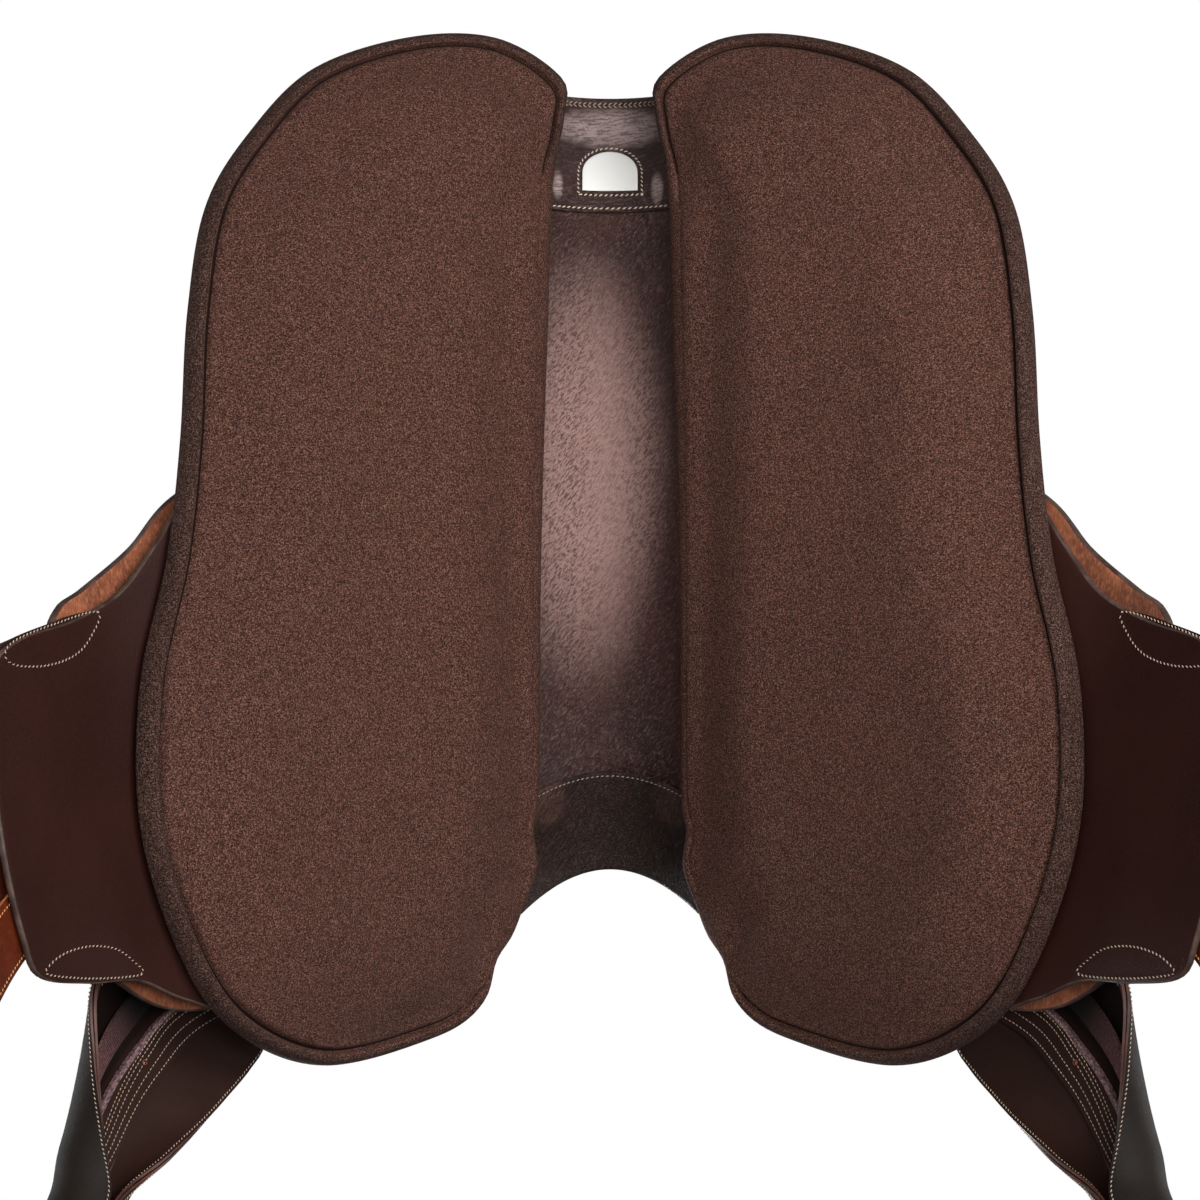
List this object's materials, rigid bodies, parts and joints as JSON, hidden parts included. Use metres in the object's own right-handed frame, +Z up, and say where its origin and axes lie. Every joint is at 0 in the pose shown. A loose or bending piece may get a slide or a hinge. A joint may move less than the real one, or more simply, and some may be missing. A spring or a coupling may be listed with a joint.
{
  "type": "all-purpose saddle",
  "caption": "Leather riding saddle with swinging fenders, flocked serge panels, lifting flaps, girth billets and an open gullet.",
  "frame": {"origin": "underside of the gullet lining on the saddle's middle line, half way along the gullet, where the horse's spine passes below", "axes": "+Z up as worn, -Y towards the horse's head, +X the rider's left"},
  "size_m": [0.5986, 0.7087, 0.4908],
  "materials": {
    "serge": "flecked wool serge, matt",
    "leather": "smooth dark-brown leather, satin",
    "lining": "grained brown leather, soft sheen",
    "billet": "red-brown strap leather, satin",
    "suede": "tan flesh side, matt",
    "shell": "moulded nylon, matt",
    "foam": "foam and wadding, matt",
    "steel": "plain steel, satin",
    "ivory": "blank ivory plate, satin"
  },
  "bodies": {
    "seat": {"tree": "shell", "gullet_plate": "steel", "seat_cover": "leather", "seat_foam": "foam", "gullet_lining": "lining", "front_facing": "leather", "rear_facing": "lining", "label_plate": "ivory", "panel_left": "serge", "sweat_flap_left": "leather", "thigh_block_left": "leather", "knee_block_left": "leather", "stirrup_bar_left": "steel", "panel_right": "serge", "sweat_flap_right": "leather", "thigh_block_right": "leather", "knee_block_right": "leather", "stirrup_bar_right": "steel"},
    "flap_left": {"flap_left": "leather"},
    "loop_left": {"leather_loop_left": "leather"},
    "fender_left": {"fender_left": "leather", "stirrup_leather_left": "leather", "leather_tail_left": "suede"},
    "skirt_left": {"skirt_left": "leather"},
    "front_billet_left": {"front_billet_left": "billet"},
    "rear_billet_left": {"rear_billet_left": "billet"},
    "bar_catch_left": {"bar_catch_left": "steel"},
    "flap_right": {"flap_right": "leather"},
    "loop_right": {"leather_loop_right": "leather"},
    "fender_right": {"fender_right": "leather", "stirrup_leather_right": "leather", "leather_tail_right": "suede"},
    "skirt_right": {"skirt_right": "leather"},
    "front_billet_right": {"front_billet_right": "billet"},
    "rear_billet_right": {"rear_billet_right": "billet"},
    "bar_catch_right": {"bar_catch_right": "steel"}
  },
  "joints": [
    {"name": "flap_lift_left", "type": "hinge", "parent": "seat", "child": "flap_left", "pos_m": [0.12425, -0.13, -0.07479], "axis": [-0.043, -0.9983, -0.0394], "range_deg": [0, 60]},
    {"name": "loop_lift_left", "type": "hinge", "parent": "seat", "child": "loop_left", "pos_m": [0.12425, -0.13, -0.07479], "axis": [-0.043, -0.9983, -0.0394], "range_deg": [0, 60]},
    {"name": "fender_swing_left", "type": "hinge", "parent": "loop_left", "child": "fender_left", "pos_m": [0.12425, -0.13, -0.07479], "axis": [0.8561, -0.151, 0.4943], "range_deg": [-20, 50]},
    {"name": "skirt_lift_left", "type": "hinge", "parent": "seat", "child": "skirt_left", "pos_m": [0.10068, -0.084, -0.04433], "axis": [-0.1557, -0.9845, 0.0808], "range_deg": [0, 60]},
    {"name": "front_billet_swing_left", "type": "hinge", "parent": "seat", "child": "front_billet_left", "pos_m": [0.13512, -0.122, -0.09683], "axis": [0.6659, 0, 0.746], "range_deg": [-2, 2]},
    {"name": "rear_billet_swing_left", "type": "hinge", "parent": "seat", "child": "rear_billet_left", "pos_m": [0.14098, -0.086, -0.09179], "axis": [0.641, 0, 0.7676], "range_deg": [-1.5, 2]},
    {"name": "bar_catch_turn_left", "type": "hinge", "parent": "seat", "child": "bar_catch_left", "pos_m": [0.10295, -0.09305, -0.05393], "axis": [0.6469, 0, 0.7626], "range_deg": [0, 75]},
    {"name": "flap_lift_right", "type": "hinge", "parent": "seat", "child": "flap_right", "pos_m": [-0.12425, -0.13, -0.07479], "axis": [-0.043, 0.9983, 0.0394], "range_deg": [0, 60]},
    {"name": "loop_lift_right", "type": "hinge", "parent": "seat", "child": "loop_right", "pos_m": [-0.12425, -0.13, -0.07479], "axis": [-0.043, 0.9983, 0.0394], "range_deg": [0, 60]},
    {"name": "fender_swing_right", "type": "hinge", "parent": "loop_right", "child": "fender_right", "pos_m": [-0.12425, -0.13, -0.07479], "axis": [0.8561, 0.151, -0.4943], "range_deg": [-20, 50]},
    {"name": "skirt_lift_right", "type": "hinge", "parent": "seat", "child": "skirt_right", "pos_m": [-0.10068, -0.084, -0.04433], "axis": [-0.1557, 0.9845, -0.0808], "range_deg": [0, 60]},
    {"name": "front_billet_swing_right", "type": "hinge", "parent": "seat", "child": "front_billet_right", "pos_m": [-0.13512, -0.122, -0.09683], "axis": [0.6659, 0, -0.746], "range_deg": [-2, 2]},
    {"name": "rear_billet_swing_right", "type": "hinge", "parent": "seat", "child": "rear_billet_right", "pos_m": [-0.14098, -0.086, -0.09179], "axis": [0.641, 0, -0.7676], "range_deg": [-1.5, 2]},
    {"name": "bar_catch_turn_right", "type": "hinge", "parent": "seat", "child": "bar_catch_right", "pos_m": [-0.10295, -0.09305, -0.05393], "axis": [0.6469, 0, -0.7626], "range_deg": [0, 75]}
  ],
  "couplings": [
    {"joint": "loop_lift_left", "follows": "flap_lift_left", "ratio": 1},
    {"joint": "skirt_lift_left", "follows": "flap_lift_left", "ratio": 1},
    {"joint": "loop_lift_right", "follows": "flap_lift_right", "ratio": 1},
    {"joint": "skirt_lift_right", "follows": "flap_lift_right", "ratio": 1}
  ]
}
